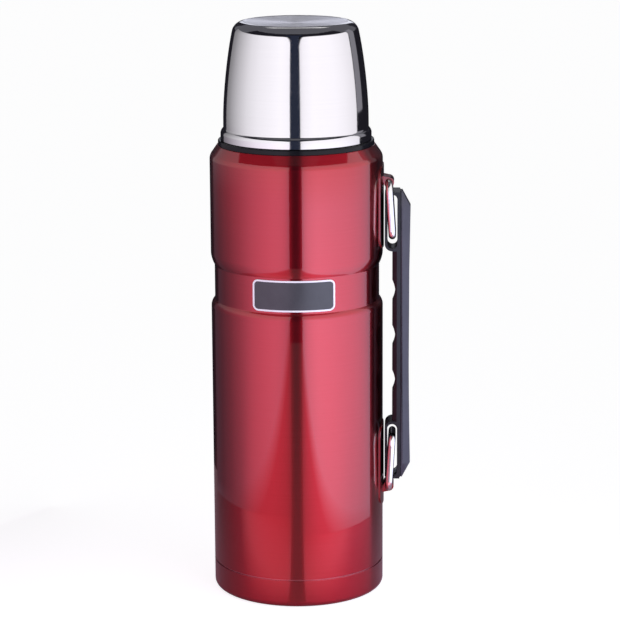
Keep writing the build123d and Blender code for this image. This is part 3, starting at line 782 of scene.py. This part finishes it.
def softenedCopy(name, node, body, slotName, material, width, segments=2):
    bm = bmesh.new()
    bm.from_mesh(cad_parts[node].data)
    bmesh.ops.remove_doubles(bm, verts=bm.verts[:], dist=soften["merge"] * mm)
    bmesh.ops.dissolve_degenerate(bm, dist=soften["sliver"] * mm, edges=bm.edges[:])
    bmesh.ops.dissolve_limit(
        bm, angle_limit=radians(soften["flatWithin"]), use_dissolve_boundaries=False,
        verts=bm.verts[:], edges=bm.edges[:], delimit=set(),
    )
    sharp = radians(soften["sharpFrom"])
    rims = [edge for edge in bm.edges if edge.is_manifold and edge.calc_face_angle(0) > sharp]
    bmesh.ops.bevel(
        bm, geom=rims, offset=width * mm, offset_type="OFFSET", segments=segments, profile=0.5,
        affect="EDGES", clamp_overlap=True, material=-1,
    )
    return finishPiece(name, bm, body, node, slotName, material, turnOut=False)


# name, node, body, slot, finish, width of the rounded edge in mm and its segments
softPieces = [
    softenedCopy(*settings) for settings in (
        # The grip takes the darker copy of the handle plastic: painted shade
        ("handleGrip", "handle_grip", "handle", "black_plastic", "gripPlastic", 0.35),
        ("handleCover", "handle_cover", "handle", "black_plastic", "handlePlastic", 0.35),
        ("stopperKnob", "stopper_knob", "stopper", "collar_plastic", "collarPlastic", 0.3),
        # The brackets take the darker copy of the red lacquer: painted shade
        ("upperBracket", "upper_bracket", "bottle", "red_lacquer", "bracketLacquer", 0.28, 3),
        ("lowerBracket", "lower_bracket", "bottle", "red_lacquer", "bracketLacquer", 0.28, 3),
    )
]
print("softened pieces made:", len(softPieces))

# CAD nodes that keep their own mesh take a finish only
keptNodes = {
    "bottom_plate": "seamSteel", "vacuum_seal": "greySolder", "getter": "getterMetal",
    "heat_foil": "brightFoil", "stopper_body": "collarPlastic", "stopper_foam": "foamBlock",
    "stopper_gasket": "sealRubber", "upper_link": "chromeWire", "lower_link": "chromeWire",
}
for node, finish in keptNodes.items():
    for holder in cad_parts[node].material_slots:
        holder.material = finishes[finish]
print("kept nodes finished:", len(keptNodes))


# Camera, in metres and radians but for the turn around the bottle, which is in degrees
def placeCamera():
    view = {
        "distance": 1.3727, "height": 0.4665, "around": 2.5, "down": 0.2225, "aside": 0.0051,
        "tilt": 0.0057, "lens": 148.67, "sensor": 36, "farthest": 50,
    }
    down, aside, tilt = view["down"], view["aside"], view["tilt"]
    forward = Vector((cos(down) * sin(aside), cos(down) * cos(aside), -sin(down)))
    side = Vector((cos(aside), -sin(aside), 0))
    above = side.cross(forward)
    right = side * cos(tilt) - above * sin(tilt)
    above = side * sin(tilt) + above * cos(tilt)
    pose = Matrix((right, above, -forward)).transposed().to_4x4()
    pose.translation = (0, -view["distance"], view["height"])
    camera = bpy.data.objects.new("camera", bpy.data.cameras.new("camera"))
    camera.data.lens = view["lens"]
    camera.data.sensor_width = view["sensor"]
    camera.data.clip_end = view["farthest"]
    camera.matrix_world = Matrix.Rotation(radians(view["around"]), 4, "Z") @ pose
    scene.collection.objects.link(camera)
    scene.camera = camera


# Studio: pale floor, white surround, two tall diffusing walls and cards that only reflections see
def newEmitter(name, colour, strength):
    material = bpy.data.materials.new(name)
    material.use_nodes = True
    tree = material.node_tree
    tree.nodes.clear()
    glow = put(tree, "ShaderNodeEmission", {"Color": colour, "Strength": strength})
    tree.links.new(glow.outputs[0], put(tree, "ShaderNodeOutputMaterial").inputs["Surface"])
    return material, tree, glow.inputs


def addStage(name, bm, material):
    mesh = bpy.data.meshes.new(name)
    bm.to_mesh(mesh)
    bm.free()
    mesh.materials.append(material)
    thing = bpy.data.objects.new(name, mesh)
    scene.collection.objects.link(thing)
    return thing


def addCard(name, bm, material, lights=False):
    card = addStage(name, bm, material)
    card.visible_camera = False
    card.visible_shadow = False
    card.visible_diffuse = lights


# radii and heights are those of the card's foot and top, angles those of its first and last edge
def curvedCard(name, radii, angles, heights, material, lights=False):
    bm = bmesh.new()
    ends = [bm.verts.new((0, -radius, height)) for radius, height in zip(radii, heights)]
    edge = bm.edges.new(ends)
    start, stop = (radians(angle) for angle in angles)
    facing = Matrix.Rotation(start, 3, "Z")
    bmesh.ops.rotate(bm, verts=ends, cent=(0, 0, 0), matrix=facing)
    bmesh.ops.spin(
        bm, geom=ends + [edge], cent=(0, 0, 0), axis=upright, dvec=(0, 0, 0),
        angle=stop - start, steps=48, use_duplicate=False,
    )
    addCard(name, bm, material, lights)


# Each wall's light along its arc, low down and high up, as (angle, level) pairs. The lower corner
# rises and the top sinks near the wall's front edge, each over its own turn in degrees.
walls = {
    "leftWall": {
        "radius": 0.21, "angles": (-6.2, -131.0), "top": 0.39, "cornerRise": 0.125,
        "cornerTurn": 22.0, "topDrop": 0.03, "topTurn": 9.0, "floorGlow": 0.45,
        "tint": (1.0, 0.76, 1.05, 1),
        "low": (
            (-6.2, 1.25), (-16, 1.5), (-26, 1.46), (-54, 1.0), (-72, 0.58), (-90, 0.3),
            (-109, 0.14), (-131, 0.09),
        ),
        "high": (
            (-6.2, 1.2), (-20, 1.25), (-55, 1.08), (-74, 0.92), (-92, 0.68), (-111, 0.44),
            (-121, 0.32), (-131, 0.26),
        ),
    },
    "rightWall": {
        "radius": 0.175, "angles": (8.4, 104.0), "top": 0.38, "cornerRise": 0.115,
        "cornerTurn": 17.0, "topDrop": 0.034, "topTurn": 9.0, "floorGlow": 0.58,
        "tint": (1.0, 1.04, 1.36, 1),
        "low": (
            (8.4, 1.3), (11, 1.6), (16, 1.85), (26, 2.0), (43, 1.85), (61, 1.65), (79, 1.38),
            (88, 1.2), (104, 0.9),
        ),
        "high": (
            (8.4, 1.0), (13, 1.15), (26, 1.26), (61, 1.23), (79, 1.15), (88, 1.09), (104, 1.0),
        ),
    },
}
# Heights in metres where the upper light takes over, and how softly each edge fades
wallFades = {
    "upperFrom": (0.195, 0.235), "upperTint": (1.0, 0.975, 1.03, 1), "corner": (-0.02, 0.008),
    "top": (-0.006, -0.001), "floorTint": (1.0, 0.64, 0.8, 1), "brightest": 2.0,
}


def levelRamp(tree, share, wall, pairs):
    start, stop = wall["angles"]
    ramp = put(tree, "ShaderNodeValToRGB", {0: share})
    marks = ramp.color_ramp.elements
    while len(marks) < len(pairs):
        marks.new(0.5)
    for mark, (angle, level) in zip(marks, pairs):
        mark.position = (angle - start) / (stop - start)
        mark.color = (level / wallFades["brightest"],) * 3 + (1,)
    return ramp.outputs[0]


def wallLight(name):
    wall = walls[name]
    start, stop = (radians(angle) for angle in wall["angles"])
    material, tree, glow = newEmitter(name, (1, 1, 1, 1), 1.0)
    place = splitPlace(tree, put(tree, "ShaderNodeTexCoord").outputs["Object"])
    angle = calc(tree, "ARCTAN2", place["X"], calc(tree, "MULTIPLY", place["Y"], -1.0))
    share = rescale(tree, angle, start, stop)
    low, high = (levelRamp(tree, share, wall, wall[key]) for key in ("low", "high"))
    height = rescale(tree, place["Z"], *wallFades["upperFrom"])
    tint = blendColours(tree, height, wall["tint"], wallFades["upperTint"])
    level = blendColours(tree, height, low, high)
    turned = calc(tree, "ABSOLUTE", calc(tree, "SUBTRACT", angle, start))
    edges = []
    for shift, turn in (("cornerRise", "cornerTurn"), ("topDrop", "topTurn")):
        near = calc(tree, "EXPONENT", calc(tree, "DIVIDE", turned, -radians(wall[turn])))
        edges.append(calc(tree, "MULTIPLY", near, wall[shift]))
    overCorner = calc(tree, "SUBTRACT", place["Z"], edges[0])
    above = rescale(tree, overCorner, *wallFades["corner"])
    topFrom, topTo = (wall["top"] + shift for shift in wallFades["top"])
    below = rescale(tree, calc(tree, "ADD", place["Z"], edges[1]), topFrom, topTo, 1.0, 0.0)
    bright = calc(tree, "MULTIPLY", calc(tree, "MULTIPLY", level, above), wallFades["brightest"])
    dim = calc(tree, "MULTIPLY", calc(tree, "SUBTRACT", 1.0, above), wall["floorGlow"])
    strength = calc(tree, "MULTIPLY", calc(tree, "ADD", bright, dim), below)
    tree.links.new(blendColours(tree, above, wallFades["floorTint"], tint), glow["Color"])
    tree.links.new(strength, glow["Strength"])
    radii, heights = (wall["radius"],) * 2, (0.0, wall["top"])
    curvedCard(name, radii, wall["angles"], heights, material, lights=True)


def makeCards():
    glows = {
        "darkFlag": ((0.46, 0.56, 1.0, 1), 0.05), "blackFlag": ((0.75, 0.7, 1.0, 1), 0.018),
        "greyCard": ((0.93, 0.93, 1.06, 1), 0.12), "paleCard": ((0.93, 0.95, 1.08, 1), 0.92),
        "sideCard": ((0.95, 0.93, 1.05, 1), 0.25), "floorStrip": ((1.0, 0.85, 0.95, 1), 0.25),
    }
    emitters = {name: newEmitter(name, *glow)[0] for name, glow in glows.items()}
    # name: radii, angles and heights as curvedCard takes them, and the glow
    cards = {
        "frontGap": ((0.30, 0.30), (-14, 14), (0.088, 0.52), "darkFlag"),
        "gapFloor": ((0.052, 1.1), (-6.2, 7.8), (0.0008, 0.0008), "floorStrip"),
        "rearLeftFlag": ((0.40, 0.40), (-130, -178), (0.0, 0.29), "blackFlag"),
        "rearRightFlag": ((0.40, 0.40), (100, 178), (0.0, 0.29), "blackFlag"),
        "upperLeftFlag": ((0.40, 0.40), (-130, -167), (0.29, 0.50), "blackFlag"),
        "upperRightFlag": ((0.40, 0.40), (100, 167), (0.29, 0.50), "blackFlag"),
        "leftFloorFlag": ((0.25, 0.42), (-131, -178), (0.0008, 0.0008), "blackFlag"),
        "rightFloorFlag": ((0.25, 0.42), (104, 178), (0.0008, 0.0008), "blackFlag"),
        "sideStrip": ((0.30, 0.30), (110, 127), (0.24, 0.46), "sideCard"),
        "frontFlag": ((0.34, 0.34), (-100, 100), (0.365, 0.7), "blackFlag"),
        "frontRoof": ((0.34, 0.34), (-100, 100), (0.701, 1.15), "greyCard"),
        "leftRoof": ((0.34, 0.34), (-100, -150), (0.365, 1.15), "greyCard"),
        "rightRoof": ((0.34, 0.34), (100, 150), (0.365, 1.15), "greyCard"),
        "rearLow": ((0.75, 0.75), (148, 212), (0.1, 0.391), "greyCard"),
        "rearCard": ((0.75, 0.75), (148, 212), (0.392, 0.62), "paleCard"),
        "rearHigh": ((0.75, 0.75), (148, 212), (0.621, 1.2), "greyCard"),
    }
    for name, (radii, angles, heights, glow) in cards.items():
        curvedCard(name, radii, angles, heights, emitters[glow])
    bm = bmesh.new()
    overhead = {"radius": 0.62, "matrix": Matrix.Translation((0, -0.1, 1.18))}
    bmesh.ops.create_circle(bm, cap_ends=True, segments=48, **overhead)
    addCard("overhead", bm, emitters["greyCard"])


# The floor shows white to the camera, and warmer and dimmer to the bottle's own mirrors
def makeFloor():
    look = {
        "shader": {"Roughness": 0.9, "Specular IOR Level": 0.0},
        "base": (0.45, 0.45, 0.46, 1), "mirroredBase": (0.45, 0.30, 0.34, 1),
        "glow": (1, 1, 1, 1), "mirroredGlow": (1.0, 0.30, 0.34, 1), "strength": 0.80,
        # mirrored strength by distance in front of the bottle: rises, then falls off
        "rise": (-0.05, -0.09, 0.0, 0.98), "fall": (-0.10, -0.19, 1.0, 0.62),
    }
    material, tree, surface, where = newMaterial("paleFloor", look["shader"])
    rays = put(tree, "ShaderNodeLightPath").outputs
    mirrored = rays["Is Glossy Ray"]
    ahead = splitPlace(tree, where)["Y"]
    rise, fall = (rescale(tree, ahead, *look[key]) for key in ("rise", "fall"))
    shine = calc(tree, "MULTIPLY", mirrored, calc(tree, "MULTIPLY", rise, fall))
    strength = calc(tree, "MULTIPLY_ADD", rays["Is Camera Ray"], look["strength"], shine)
    tree.links.new(strength, surface["Emission Strength"])
    for socket, plain, seen in (
        ("Base Color", "base", "mirroredBase"), ("Emission Color", "glow", "mirroredGlow"),
    ):
        tree.links.new(blendColours(tree, mirrored, look[plain], look[seen]), surface[socket])
    bm = bmesh.new()
    bmesh.ops.create_grid(bm, x_segments=1, y_segments=1, size=6)
    addStage("floor", bm, material)


# World: white where it is seen or mirrored, plain where it lights
def makeWorld():
    look = {"colour": (1, 1, 1, 1), "light": 0.4, "seen": 1.0}
    world = bpy.data.worlds.new("studio")
    scene.world = world
    world.use_nodes = True
    tree = world.node_tree
    back = next(node for node in tree.nodes if node.type == "BACKGROUND").inputs
    rays = put(tree, "ShaderNodeLightPath").outputs
    mirrored = calc(tree, "MAXIMUM", rays["Is Glossy Ray"], rays["Is Transmission Ray"])
    seen = calc(tree, "MAXIMUM", rays["Is Camera Ray"], mirrored)
    tree.links.new(rescale(tree, seen, 0.0, 1.0, look["light"], look["seen"]), back["Strength"])
    back["Color"].default_value = look["colour"]


placeCamera()
for wallName in walls:
    wallLight(wallName)
makeCards()
makeFloor()
makeWorld()
scene.view_settings.view_transform = "Standard"
print("studio made")
